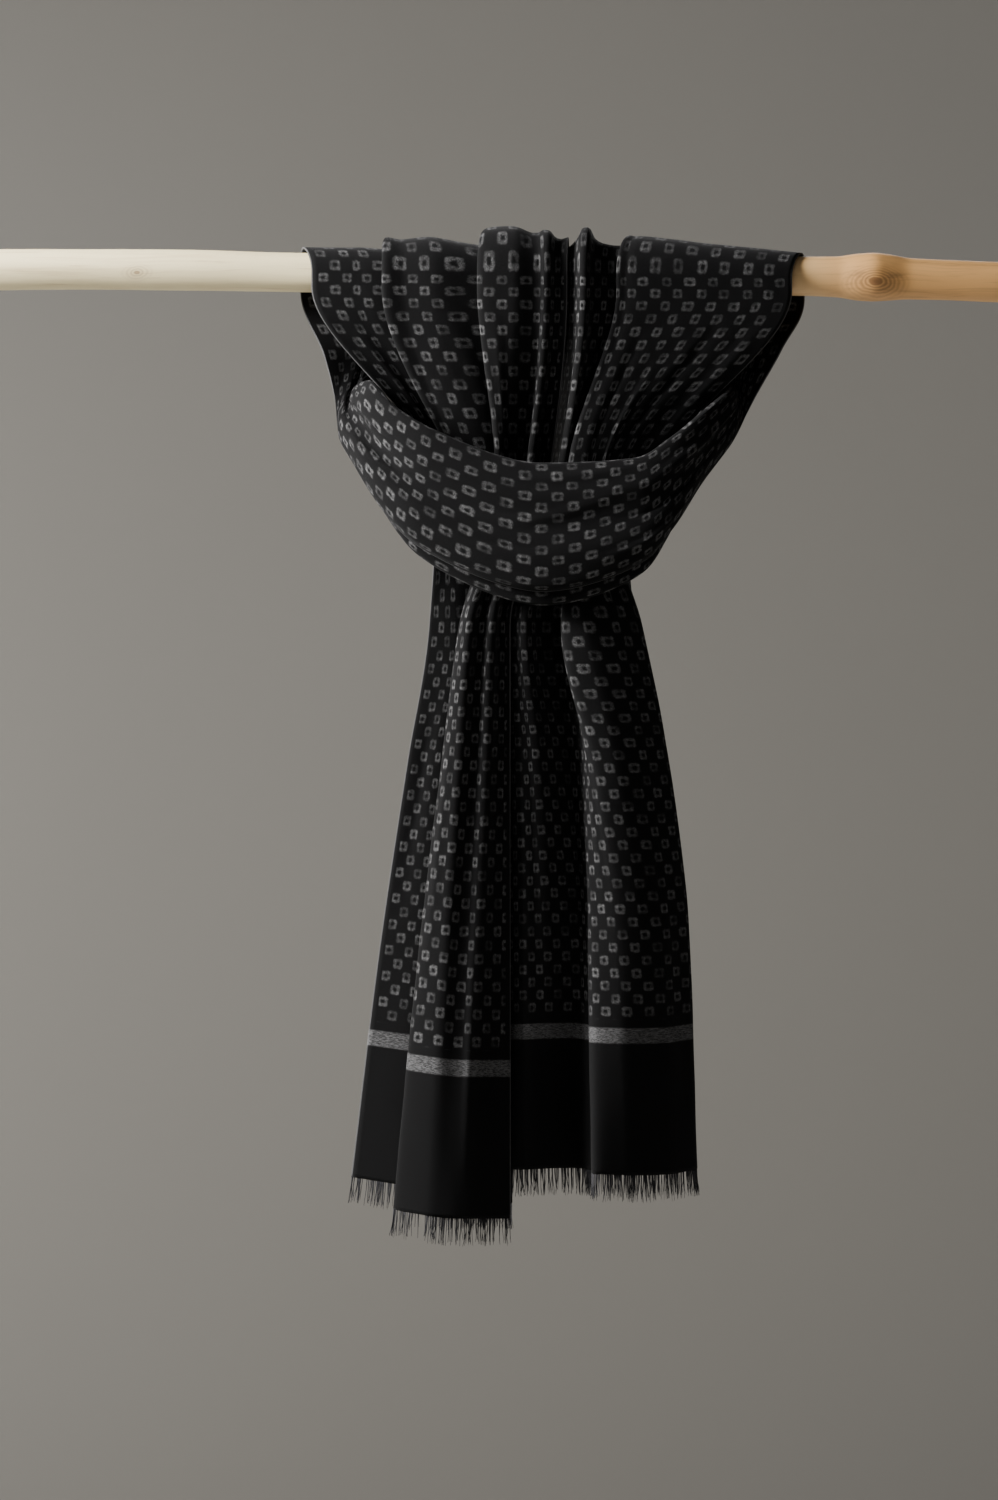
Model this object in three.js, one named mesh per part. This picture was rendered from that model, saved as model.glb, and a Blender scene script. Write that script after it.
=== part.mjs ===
import * as THREE from "three";

// A long woven scarf with a fringe at each end, hitched on a wooden rod. Millimetres, Z up.
// The front is at -Y. The origin is on the axis of the rod, at the middle of its length.

// Cloth
const CLOTH_WIDTH = 300;
const WALL = 1;
const TURN_GAP = 4;
const TURN_HALF = 3;
const TURN_SHARE = 0.3;
const SEAM = 0.3;

// Rod
const ROD_RADIUS = 14;
const ROD_TILT = -0.012;
const ROD_SIDES = 20;

// Fringe
const STRIP_HEIGHT = 4;
const LOCK_LENGTH = 18;
const LOCKS = 90;
const LOCK_WAVE = 0.8;
const LOCK_TIP = 0.22;

// Point of view that the widths and heights in the tables are read from
const EYE_DISTANCE = 2600;
const EYE_HEIGHT = -333;

// Heights of the sections of a leg and its tail
const BACK_Z = -8;
const FRONT_Z = -10;
const COLLAR_Z = -150;
const HIP_Z = -246;

// How far the folds have moved towards the collar at the front of the rod
const COLLAR_PULL = 0.08;

// Places along a leg and its tail, from the back of the rod to the hem
const ARC_START = 8;
const ARC_STEP = 6.75;
const ARC_PARTS = 8;
const FRONT_T = 74;
const COLLAR_T = 214;
const SEAM_T = 254;
const HIP_T = 292;
const HEM_T = 710;

function table(columns, rows) {
  const result = {};
  columns.forEach((name, place) => {
    result[name] = rows.map((row) => row[place]);
  });
  return result;
}

const ROD = table(["x", "z", "radius"], [
  [-375, 2.6, 14.4],
  [-349, 2.8, 14.3],
  [-280, 3.2, 14.0],
  [-215, 2.2, 14.1],
  [-146, 1.1, 13.7],
  [-60, 0.6, 13.8],
  [40, -0.3, 13.9],
  [130, -1.2, 13.8],
  [211, -1.9, 13.7],
  [236, -2.2, 14.3],
  [252, -2.3, 16.4],
  [262, -2.2, 16.9],
  [272, -2.4, 16.2],
  [288, -3.4, 14.4],
  [318, -4.6, 14.0],
  [344, -5.6, 14.1],
  [375, -6.2, 14.0],
]);

// Folds of a leg and its tail, from the outer selvage to the inner one.
// s is the place across the cloth; rodX is at the front of the rod and backX behind it, where
// the folds lie open; lift is the height over the rod;
// the collar is inside the sling, the hip just below it and the hem at the bottom.
const FOLD_COLUMNS = [
  "s", "rodX", "backX", "lift", "collarX", "collarY", "hipX", "hipY", "hemX", "hemY", "hemZ",
];

const LEFT = table(FOLD_COLUMNS, [
  [0, -139, -139, 2.6, -44, 3, -49, 0, -103, -2, -628],
  [40, -100, -104, 2.8, -31, 14, -28, 12, -66, 8, -634],
  [75, -64, -76, 4.8, -19, 6, -6, 19, -32, 13, -640],
  [105, -86, -76, 8.2, -25, -6, 11, 15, -4, 8, -644],
  [122, -68, -66, 9.2, -19, -13, 14, 5, 10, -3, -646],
  [140, -50, -50, 10.0, -9, -14, 3, -4, -7, -14, -646],
  [172, -2, -9, 12.0, 7, -15, -14, -13, -38, -22, -646],
  [207, -16, -8, 15.8, -1, -23, -29, -25, -74, -42, -650],
  [235, 10, 10, 19.5, 9, -18, -21, -35, -50, -55, -655],
  [252, 28, 24, 14.0, 16, -9, -12, -23, -34, -54, -657],
  [268, 35, 33, 18.0, 19, -22, -5, -32, -20, -50, -657],
  [284, 41, 41, 10.0, 26, -8, 2, -18, -6, -43, -657],
  [300, 49, 49, 12.0, 34, -15, 8, -23, 8, -34, -657],
]);
const LEFT_THIGH = 1.15;

const RIGHT = table(FOLD_COLUMNS, [
  [0, 214, 214, 2.8, 103, -2, 84, 22, 60, 16, -622],
  [30, 185, 185, 5.6, 90, -9, 92, 12, 87, 13, -622],
  [60, 155, 155, 8.0, 76, -16, 97, -2, 112, 6, -622],
  [90, 124, 126, 11.0, 68, -17, 101, -16, 139, -6, -622],
  [120, 94, 103, 13.6, 57, -23, 80, -32, 122, -32, -626],
  [138, 86, 96, 11.7, 47, -21, 59, -37, 106, -42, -627],
  [156, 104, 92, 7.9, 60, -1, 43, -27, 89, -48, -627],
  [180, 84, 82, 6.0, 55, 13, 55, -7, 66, -42, -626],
  [205, 68, 70, 9.0, 49, -6, 44, 6, 66, -17, -624],
  [225, 61, 62, 20.0, 42, -18, 28, -14, 58, -4, -622],
  [250, 54, 55, 10.0, 38, -3, 18, -27, 38, -18, -622],
  [275, 50, 48, 4.0, 34, 8, 11, -20, 19, -29, -623],
  [300, 38, 38, 2.6, 42, 18, 5, -8, 6, -20, -623],
]);
const RIGHT_THIGH = 2.2;

// Folds of the sling: up is the share of its height, out the distance in front of its middle,
// where it gapes on the left, across its middle, and behind on its way to the rod
const SLING = table(["s", "gapeUp", "gapeOut", "midUp", "midOut", "backUp", "backOut"], [
  [0, 0.0, 5, 0.0, 6, 0.0, 8],
  [12, 0.04, 9, 0.04, 10, 0.03, 7],
  [38, 0.3, 14, 0.28, 14, 0.13, 6],
  [62, 0.5, 6, 0.52, 11.5, 0.23, 4.5],
  [86, 0.72, 13, 0.76, 14, 0.33, 3],
  [117, 1.0, 6, 1.0, 6.5, 0.42, 0.5],
  [165, 0.56, -1, 0.56, 0, 0.7, 2],
  [226, -0.05, -3.5, -0.1, -3, 0.8, -2.5],
  [262, 0.24, -7, 0.24, -6.5, 0.9, -5],
  [300, 0.6, -7, 0.62, -6, 1.0, -8],
]);

// Sections of the sling from the left back leg to the right one: t is the place along it,
// gape and back tell how much of each form it has, spread how far apart its layers lie,
// and the rest are its two edges
const PLACE_COLUMNS = ["t", "gape", "back", "spread", "lowX", "lowY", "lowZ", "highX", "highY", "highZ"];

const SLING_PLACES = table(PLACE_COLUMNS, [
  [-205, 0, 1, 1.25, -124, 14, -60, -44, 30, -56],
  [-172, 0.35, 0.65, 1.2, -116, 7, -90, -78, 24, -65],
  [-140, 0.75, 0.25, 1.15, -107, -5, -116, -90, 8, -73],
  [-112, 1, 0, 1, -95, -18, -138, -86, -13, -76],
  [-85, 1, 0, 1, -79, -30, -165, -69, -32, -94],
  [-55, 0.6, 0, 1, -56, -39, -190, -44, -41, -110],
  [0, 0, 0, 1, 30, -45, -222, 30, -45, -133],
  [55, 0, 0, 1, 100, -40, -201, 94, -43, -129],
  [85, 0, 0, 1, 118, -33, -178, 119, -37, -113],
  [112, 0.1, 0.1, 1, 134, -20, -148, 143, -23, -89],
  [140, 0, 0.45, 1.4, 156, -6, -118, 160, 7, -65],
  [172, 0, 0.85, 1, 180, 6, -90, 148, 24, -66],
  [205, 0, 1, 1.7, 200, 14, -58, 126, 30, -56],
]);
const SLING_END_T = 268;
const SLING_SEAM_T = 120;
const PLEATS_END_T = 240;
const LAYERS_END_T = 200;
const BACK_LEG_TS = [126, 195];
const LEAD = 6;

// Slope of a smooth curve at a knot, from the rises of the two stretches beside it.
// A rounded curve swings past its points as cloth does round a fold; a steady one never does.
const rounded = (before, after, riseBefore, riseAfter) =>
  (after * riseBefore + before * riseAfter) / (before + after);

const steady = (before, after, riseBefore, riseAfter) => {
  if (riseBefore * riseAfter <= 0) {
    return 0;
  }
  const first = 2 * after + before;
  const second = after + 2 * before;
  return (first + second) / (first / riseBefore + second / riseAfter);
};

// Smooth curve through values at knots
function spline(slopeRule, knots, values, place) {
  const last = knots.length - 1;
  let i = 0;
  while (i < last - 1 && place > knots[i + 1]) {
    i += 1;
  }
  const rise = (k) => (values[k + 1] - values[k]) / (knots[k + 1] - knots[k]);
  const slope = (k) => {
    if (k === 0) {
      return rise(0);
    }
    if (k === last) {
      return rise(last - 1);
    }
    return slopeRule(knots[k] - knots[k - 1], knots[k + 1] - knots[k], rise(k - 1), rise(k));
  };
  const h = knots[i + 1] - knots[i];
  const f = (place - knots[i]) / h;
  const g = 1 - f;
  return (1 + 2 * f) * g * g * values[i] + f * g * g * h * slope(i)
    + f * f * (3 - 2 * f) * values[i + 1] - f * f * g * h * slope(i + 1);
}

// Point on the smooth curve through points at their knots
function splinePoint(slopeRule, knots, points, place) {
  const at = (axis) => spline(slopeRule, knots, points.map((p) => p[axis]), place);
  return new THREE.Vector3(at("x"), at("y"), at("z"));
}

// One section of cloth through its folds, where each sharp fold turns round a small gap:
// the fold's point becomes two, moved apart across the fold or along its two sides
function section(t, places, points) {
  const s = [places[0]];
  const turned = [points[0]];
  for (let k = 1; k < places.length - 1; k += 1) {
    const before = points[k - 1].clone().sub(points[k]);
    const after = points[k + 1].clone().sub(points[k]);
    const room = Math.min(TURN_HALF, TURN_SHARE * before.length(), TURN_SHARE * after.length());
    before.normalize();
    after.normalize();
    const sharp = Math.max(0, before.dot(after));
    const apart = before.clone().sub(after).normalize().multiplyScalar((sharp * TURN_GAP) / 2);
    const beside = (1 - sharp) * room;
    s.push(places[k] - TURN_HALF, places[k] + TURN_HALF);
    turned.push(points[k].clone().addScaledVector(before, beside).add(apart));
    turned.push(points[k].clone().addScaledVector(after, beside).sub(apart));
  }
  s.push(places[places.length - 1]);
  turned.push(points[points.length - 1]);
  const knots = [0];
  for (let k = 1; k < turned.length; k += 1) {
    knots.push(knots[k - 1] + Math.sqrt(turned[k].distanceTo(turned[k - 1])));
  }
  return { t, s, knots, points: turned };
}

// Point of a section at a place across the cloth; its knots lie apart by the root of their distance,
// so that the curve makes no loop where the cloth is gathered
function sectionPoint({ s, knots, points }, place) {
  let i = 0;
  while (i < s.length - 2 && place > s[i + 1]) {
    i += 1;
  }
  const share = (place - s[i]) / (s[i + 1] - s[i]);
  return splinePoint(rounded, knots, points, knots[i] + (knots[i + 1] - knots[i]) * share);
}

// Point of the cloth between its sections
function between(sections, s, t) {
  const points = sections.map((k) => sectionPoint(k, s));
  return unseen(splinePoint(steady, sections.map((k) => k.t), points, t));
}

// What is nearer the eye than the rod is drawn smaller by as much as it looks larger
function unseen(p) {
  const share = (EYE_DISTANCE + p.y) / EYE_DISTANCE;
  return new THREE.Vector3(p.x * share, p.y, EYE_HEIGHT + (p.z - EYE_HEIGHT) * share);
}

// Folds over the rod, at an angle from its back (0) to its front (half a turn)
function overRod(folds, turn, drop) {
  return folds.s.map((place, k) => {
    const behind = (1 + Math.cos(turn)) / 2;
    const gathered = COLLAR_PULL * (1 - behind) ** 2;
    const x =
      folds.rodX[k] +
      behind * (folds.backX[k] - folds.rodX[k]) +
      gathered * (folds.collarX[k] - folds.rodX[k]);
    const reach = ROD_RADIUS + folds.lift[k];
    return new THREE.Vector3(x, reach * Math.cos(turn), ROD_TILT * x + reach * Math.sin(turn) + drop);
  });
}

// Sections of a leg and its tail
function legSections(folds, thigh) {
  const collar = folds.s.map((place, k) => new THREE.Vector3(folds.collarX[k], folds.collarY[k], COLLAR_Z));
  const hip = folds.s.map((place, k) => new THREE.Vector3(folds.hipX[k], folds.hipY[k], HIP_Z));
  const hem = folds.s.map((place, k) => new THREE.Vector3(folds.hemX[k], folds.hemY[k], folds.hemZ[k]));
  const sections = [section(0, folds.s, overRod(folds, 0, BACK_Z))];
  for (let part = 0; part <= ARC_PARTS; part += 1) {
    const turn = (Math.PI * part) / ARC_PARTS;
    sections.push(section(ARC_START + ARC_STEP * part, folds.s, overRod(folds, turn, 0)));
  }
  sections.push(section(FRONT_T, folds.s, overRod(folds, Math.PI, FRONT_Z)));
  sections.push(section(COLLAR_T, folds.s, collar));
  sections.push(section(HIP_T, folds.s, hip));
  for (const share of [0.25, 0.6]) {
    const points = hip.map((top, k) => {
      const point = top.clone().lerp(hem[k], share);
      point.x = top.x + (hem[k].x - top.x) * (1 - (1 - share) ** thigh);
      return point;
    });
    sections.push(section(HIP_T + (HEM_T - HIP_T) * share, folds.s, points));
  }
  sections.push(section(HEM_T, folds.s, hem));
  return sections;
}

// Sections of the sling and both back legs
function slingSections() {
  const places = SLING_PLACES;
  const low = (k) => new THREE.Vector3(places.lowX[k], places.lowY[k], places.lowZ[k]);
  const high = (k) => new THREE.Vector3(places.highX[k], places.highY[k], places.highZ[k]);
  const last = places.t.length - 1;
  const sections = [
    section(-SLING_END_T, LEFT.s, overRod(LEFT, 0, BACK_Z)),
    section(-SLING_END_T + LEAD, LEFT.s, overRod(LEFT, 0, BACK_Z - LEAD)),
  ];
  for (let k = 0; k <= last; k += 1) {
    const before = Math.max(k - 1, 0);
    const after = Math.min(k + 1, last);
    const run = low(after).add(high(after)).sub(low(before)).sub(high(before));
    const rise = high(k).sub(low(k));
    const out = run.cross(rise).normalize();
    const gape = places.gape[k];
    const back = places.back[k];
    const mid = 1 - gape - back;
    const points = SLING.s.map((place, n) => {
      const up = gape * SLING.gapeUp[n] + mid * SLING.midUp[n] + back * SLING.backUp[n];
      const front = gape * SLING.gapeOut[n] + mid * SLING.midOut[n] + back * SLING.backOut[n];
      return low(k).addScaledVector(rise, up).addScaledVector(out, front * places.spread[k]);
    });
    sections.push(section(places.t[k], SLING.s, points));
  }
  sections.push(section(SLING_END_T - LEAD, RIGHT.s, overRod(RIGHT, 0, BACK_Z - LEAD)));
  sections.push(section(SLING_END_T, RIGHT.s, overRod(RIGHT, 0, BACK_Z)));
  return sections;
}

// Places from one knot to the next, each stretch in as many equal steps as asked
function steps(knots, counts) {
  const result = [knots[0]];
  counts.forEach((count, k) => {
    for (let i = 1; i <= count; i += 1) {
      result.push(knots[k] + ((knots[k + 1] - knots[k]) * i) / count);
    }
  });
  return result;
}

function even(first, last, count) {
  return steps([first, last], [count]);
}

// Places across the cloth: some between each two folds and some round each fold's turn
function across(folds, flatSteps, turnSteps) {
  const knots = [0];
  const counts = [];
  for (const place of folds.s.slice(1, -1)) {
    knots.push(place - TURN_HALF, place + TURN_HALF);
    counts.push(flatSteps, turnSteps);
  }
  knots.push(CLOTH_WIDTH);
  counts.push(flatSteps);
  return steps(knots, counts);
}

// Places across a back leg, which go from those of its leg at the rod to those of the sling
function mergedPlaces(legPlaces, slingPlaces, t) {
  const share = (PLEATS_END_T - Math.abs(t)) / (PLEATS_END_T - LAYERS_END_T);
  return legPlaces.map((place, k) => place + (slingPlaces[k] - place) * Math.min(1, Math.max(0, share)));
}

// Both faces of a cloth, half a wall to each side of its middle
function faces(point, places, lengths) {
  const front = [];
  const back = [];
  const step = 0.5;
  for (const t of lengths) {
    for (const s of places(t)) {
      const middle = point(s, t);
      const alongS = point(Math.min(s + step, CLOTH_WIDTH), t).sub(point(Math.max(s - step, 0), t));
      const alongT = point(s, t + step).sub(point(s, t - step));
      const normal = alongS.cross(alongT).normalize().multiplyScalar(WALL / 2);
      front.push(middle.clone().add(normal));
      back.push(middle.clone().sub(normal));
    }
  }
  return { front, back };
}

// Closed cloth between its two faces
function clothMesh(point, places, lengths) {
  const { front, back } = faces(point, places, lengths);
  const columns = places(lengths[0]).length;
  const rows = lengths.length;
  const vertices = [...front, ...back];
  const behind = front.length;
  const triangles = [];
  const quad = (a, b, c, d) => triangles.push([a, b, c], [a, c, d]);
  for (let j = 0; j < rows - 1; j += 1) {
    for (let i = 0; i < columns - 1; i += 1) {
      const a = j * columns + i;
      quad(a, a + 1, a + 1 + columns, a + columns);
      quad(behind + a, behind + a + columns, behind + a + 1 + columns, behind + a + 1);
    }
    const left = j * columns;
    const right = left + columns - 1;
    quad(left, left + columns, behind + left + columns, behind + left);
    quad(right, behind + right, behind + right + columns, right + columns);
  }
  for (let i = 0; i < columns - 1; i += 1) {
    const top = i;
    const low = (rows - 1) * columns + i;
    quad(top, behind + top, behind + top + 1, top + 1);
    quad(low, low + 1, behind + low + 1, behind + low);
  }
  return { vertices, triangles };
}

// Narrow strip below a hem, whose lower edge runs out in tapered locks of warp threads
function fringeMesh(point) {
  const places = even(0, CLOTH_WIDTH, LOCKS);
  const top = HEM_T + SEAM;
  const strip = clothMesh(point, () => places, [top, top + STRIP_HEIGHT]);
  const columns = places.length;
  const behind = 2 * columns;
  const { vertices, triangles } = strip;
  const hemFaces = 2 * LOCKS;
  const kept = triangles.slice(0, triangles.length - 2 * hemFaces);
  const rims = triangles.slice(triangles.length - 2 * hemFaces);
  rims.forEach((triangle, place) => {
    if (place % 4 < 2) {
      kept.push(triangle);
    }
  });
  for (let i = 0; i < LOCKS; i += 1) {
    const corners = [columns + i, columns + i + 1, behind + columns + i + 1, behind + columns + i];
    const root = new THREE.Vector3();
    corners.forEach((corner) => root.addScaledVector(vertices[corner], 1 / corners.length));
    const sway = LOCK_WAVE * Math.sin(2.1 * i) + 0.7 * LOCK_WAVE * Math.sin(5.3 * i + 1);
    const drop = LOCK_LENGTH * (1 + 0.07 * Math.sin(3.7 * i));
    const tips = corners.map((corner) => {
      const tip = vertices[corner].clone().sub(root).multiplyScalar(LOCK_TIP).add(root);
      tip.x += sway;
      tip.z -= drop;
      vertices.push(tip);
      return vertices.length - 1;
    });
    for (let k = 0; k < corners.length; k += 1) {
      const next = (k + 1) % corners.length;
      kept.push([corners[k], corners[next], tips[next]], [corners[k], tips[next], tips[k]]);
    }
    kept.push([tips[0], tips[1], tips[2]], [tips[0], tips[2], tips[3]]);
  }
  return { vertices, triangles: kept };
}

// Rod turned from its table, with flat ends
function rodMesh() {
  const lengths = steps(ROD.x, ROD.x.slice(1).map(() => 1));
  const vertices = [];
  const triangles = [];
  for (const x of lengths) {
    const z = spline(steady, ROD.x, ROD.z, x);
    const radius = spline(steady, ROD.x, ROD.radius, x);
    for (let k = 0; k < ROD_SIDES; k += 1) {
      const turn = (2 * Math.PI * k) / ROD_SIDES;
      vertices.push(new THREE.Vector3(x, radius * Math.cos(turn), z + radius * Math.sin(turn)));
    }
  }
  for (let j = 0; j < lengths.length - 1; j += 1) {
    for (let k = 0; k < ROD_SIDES; k += 1) {
      const a = j * ROD_SIDES + k;
      const b = j * ROD_SIDES + ((k + 1) % ROD_SIDES);
      triangles.push([a, b, b + ROD_SIDES], [a, b + ROD_SIDES, a + ROD_SIDES]);
    }
  }
  const end = (lengths.length - 1) * ROD_SIDES;
  for (let k = 1; k < ROD_SIDES - 1; k += 1) {
    triangles.push([0, k + 1, k], [end, end + k, end + k + 1]);
  }
  return { vertices, triangles };
}

function volume({ vertices, triangles }) {
  let sum = 0;
  for (const [a, b, c] of triangles) {
    sum += vertices[a].dot(vertices[b].clone().cross(vertices[c])) / 6;
  }
  return sum;
}

// Named mesh with its faces outward
function named(name, solid, material) {
  const inward = volume(solid) < 0;
  const index = solid.triangles.flatMap(([a, b, c]) => (inward ? [a, c, b] : [a, b, c]));
  const geometry = new THREE.BufferGeometry();
  const coordinates = solid.vertices.flatMap((p) => [p.x, p.y, p.z]);
  geometry.setAttribute("position", new THREE.Float32BufferAttribute(coordinates, 3));
  geometry.setIndex(index);
  geometry.computeVertexNormals();
  const mesh = new THREE.Mesh(geometry, material());
  mesh.name = name;
  return mesh;
}

const matt = (color, roughness) => () => new THREE.MeshStandardMaterial({ color, roughness, metalness: 0 });
const clothMaterial = matt(0x24252a, 0.95);
const fringeMaterial = matt(0x2f3034, 0.95);
const woodMaterial = matt(0xc9b48a, 0.6);

const scarf = new THREE.Group();
scarf.name = "scarf_on_rod";

const LEGS = [
  { side: "left", folds: LEFT, thigh: LEFT_THIGH },
  { side: "right", folds: RIGHT, thigh: RIGHT_THIGH },
];

for (const { side, folds, thigh } of LEGS) {
  const sections = legSections(folds, thigh);
  const point = (s, t) => between(sections, s, t);
  const legKnots = [SEAM / 2, ARC_START + ARC_STEP * ARC_PARTS, FRONT_T, COLLAR_T, SEAM_T - SEAM / 2];
  const legLengths = steps(legKnots, [7, 1, 4, 2]);
  const tailLengths = steps([SEAM_T + SEAM / 2, HIP_T, HEM_T], [2, 6]);
  const legPlaces = across(folds, 2, 2);
  const tailPlaces = across(folds, 2, 1);
  scarf.add(named(`front_leg_${side}`, clothMesh(point, () => legPlaces, legLengths), clothMaterial));
  scarf.add(named(`tail_${side}`, clothMesh(point, () => tailPlaces, tailLengths), clothMaterial));
  scarf.add(named(`fringe_${side}`, fringeMesh(point), fringeMaterial));
}

const loopSections = slingSections();
const slingPoint = (s, t) => between(loopSections, s, t);
const slingPlaces = across(SLING, 2, 2);
const leftPlaces = (t) => mergedPlaces(across(LEFT, 1, 2), slingPlaces, t);
const rightPlaces = (t) => mergedPlaces(across(RIGHT, 1, 2), slingPlaces, t);
const slingEnd = SLING_END_T - SEAM / 2;
const rightKnots = [SLING_SEAM_T + SEAM / 2, ...BACK_LEG_TS, SLING_END_T - LEAD, slingEnd];
const rightLengths = steps(rightKnots, [1, 6, 6, 1]);
const leftLengths = rightLengths.map((t) => -t).reverse();
const midLengths = even(-SLING_SEAM_T + SEAM / 2, SLING_SEAM_T - SEAM / 2, 13);
scarf.add(named("back_leg_left", clothMesh(slingPoint, leftPlaces, leftLengths), clothMaterial));
scarf.add(named("sling", clothMesh(slingPoint, () => slingPlaces, midLengths), clothMaterial));
scarf.add(named("back_leg_right", clothMesh(slingPoint, rightPlaces, rightLengths), clothMaterial));
scarf.add(named("rod", rodMesh(), woodMaterial));

export default scarf;
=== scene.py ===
"""Woven scarf hitched on a peeled wooden rod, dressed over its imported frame."""

import bmesh
import bpy
import numpy as np
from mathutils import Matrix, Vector


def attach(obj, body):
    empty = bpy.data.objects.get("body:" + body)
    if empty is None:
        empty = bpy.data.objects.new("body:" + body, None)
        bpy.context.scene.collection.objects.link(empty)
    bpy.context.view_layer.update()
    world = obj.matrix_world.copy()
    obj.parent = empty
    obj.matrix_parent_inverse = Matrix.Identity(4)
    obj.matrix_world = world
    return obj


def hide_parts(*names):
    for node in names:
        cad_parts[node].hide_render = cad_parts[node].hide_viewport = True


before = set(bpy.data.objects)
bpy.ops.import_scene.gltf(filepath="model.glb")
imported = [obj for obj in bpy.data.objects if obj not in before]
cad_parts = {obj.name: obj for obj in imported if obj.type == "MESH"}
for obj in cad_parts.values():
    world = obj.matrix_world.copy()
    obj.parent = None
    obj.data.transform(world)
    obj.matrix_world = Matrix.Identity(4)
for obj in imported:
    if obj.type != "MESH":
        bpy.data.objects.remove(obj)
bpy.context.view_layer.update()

bl_info = {
    "name": "Scarf on a rod",
    "version": (1, 0, 0),
    "blender": (4, 5, 0),
    "location": "View3D > Sidebar > Scarf",
    "description": "Builds a woven scarf hitched on a wooden rod, with its fringe, pattern and studio",
    "category": "Object",
}

# Lengths are in millimetres up to the meshes: s runs across the cloth from the outer selvage and t along it
CLOTH_WIDTH = 300.0

# A fold's turn: gap between its two sides, half its width along the cloth, and its largest share of a side
TURN_GAP = 4.0
TURN_HALF = 3.0
TURN_SHARE = 0.3

# The rod that the folds go round, and how much it falls per unit to the right
ROD_RADIUS = 14.0
ROD_TILT = -0.012

# The eye that the tables were measured from
EYE_DISTANCE = 2600.0
EYE_HEIGHT = -333.0

# Heights of the stations of a leg, and their places along it
BACK_Z, FRONT_Z, COLLAR_Z, HIP_Z = -8.0, -10.0, -150.0, -246.0
ARC_START, ARC_STEP, ARC_PARTS = 8.0, 6.75, 8
FRONT_T, COLLAR_T, HIP_T, HEM_T = 74.0, 214.0, 292.0, 710.0
THIGH_SHARES = (0.25, 0.6)

# How far the folds have moved towards the collar at the front of the rod
COLLAR_PULL = 0.08

# Ends of the sling's stretch and of the whole cloth
SLING_END_T, LEAD = 268.0, 6.0
CLOTH_END_T = HEM_T + 4.3
CLOTH_LENGTH = 2 * (CLOTH_END_T + SLING_END_T)

# How much more cloth lies in the wide middle of the sling than an even spread would put there
LOOP_EASE = 0.18

# The woven repeat on the cut cloth: its first row from the end, and half rows between both ends
REPEAT_WIDTH = 16.8
FIRST_ROW = 125.5
HALF_ROWS = 87
REPEAT_LENGTH = 2 * (CLOTH_LENGTH / 2 - FIRST_ROW) / HALF_ROWS
STRIPE_CENTRE = 107.0

ROD_COLUMNS = ("x", "z", "radius")
ROD_TABLE = [
    (-375, 2.6, 14.4),
    (-349, 2.8, 14.3),
    (-280, 3.2, 14.0),
    (-215, 2.2, 14.1),
    (-146, 1.1, 13.7),
    (-60, 0.6, 13.8),
    (40, -0.3, 13.9),
    (130, -1.2, 13.8),
    (211, -1.9, 13.7),
    (236, -2.2, 14.3),
    (252, -2.3, 16.4),
    (262, -2.2, 16.9),
    (272, -2.4, 16.2),
    (288, -3.4, 14.4),
    (318, -4.6, 14.0),
    (344, -5.6, 14.1),
    (375, -6.2, 14.0),
]

# Folds of a leg and its tail, from the outer selvage to the inner one
FOLD_COLUMNS = (
    "s", "rod_x", "back_x", "lift", "collar_x", "collar_y", "hip_x", "hip_y", "hem_x", "hem_y", "hem_z"
)
LEFT_FOLDS = [
    (0, -139, -139, 2.6, -44, 3, -49, 5, -103, 7, -628),
    (40, -100, -104, 2.8, -31, 14, -28, 6, -66, -1, -634),
    (75, -64, -76, 4.8, -19, 6, -6, 17, -32, 9, -640),
    (105, -86, -76, 8.2, -25, -6, 11, 15, -4, 8, -644),
    (122, -68, -66, 9.2, -19, -13, 14, 5, 10, -3, -646),
    (140, -50, -50, 11.0, -9, -14, 3, -4, -7, -14, -646),
    (172, -2, -9, 7.0, 7, -10, -14, -13, -38, -22, -646),
    (207, -16, -8, 15.8, -1, -23, -29, -25, -74, -42, -650),
    (235, 10, 10, 19.5, 9, -18, -21, -35, -50, -55, -655),
    (252, 28, 24, 14.0, 16, -9, -12, -23, -34, -54, -657),
    (268, 35, 33, 18.0, 19, -22, -5, -32, -20, -50, -657),
    (284, 41, 41, 10.0, 26, -8, 2, -18, -6, -43, -657),
    (300, 49, 49, 12.0, 34, -15, 8, -23, 8, -34, -657),
]
RIGHT_FOLDS = [
    (0, 214, 214, 2.8, 103, -2, 84, 22, 60, 16, -622),
    (30, 185, 185, 5.6, 90, -9, 92, 12, 87, 13, -622),
    (60, 155, 155, 8.0, 76, -16, 97, -2, 112, 6, -622),
    (90, 124, 126, 11.0, 68, -17, 101, -12, 139, -1, -622),
    (120, 94, 103, 13.6, 57, -23, 80, -26, 122, -22, -626),
    (138, 86, 96, 11.7, 47, -21, 59, -34, 106, -33, -627),
    (156, 104, 92, 7.9, 60, -1, 43, -30, 89, -43, -627),
    (180, 84, 82, 6.0, 55, 13, 55, -7, 66, -48, -626),
    (205, 68, 70, 9.0, 49, -6, 44, 6, 66, -17, -624),
    (225, 61, 62, 20.0, 42, -18, 28, -14, 58, -4, -622),
    (250, 54, 55, 10.0, 38, -3, 18, -27, 38, -18, -622),
    (275, 50, 48, 4.0, 34, 8, 11, -20, 19, -29, -623),
    (300, 38, 38, 2.6, 42, 18, 5, -8, 6, -20, -623),
]

# How early each side's tail spreads below its hip
THIGH = {"left": 1.15, "right": 2.2}

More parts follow.
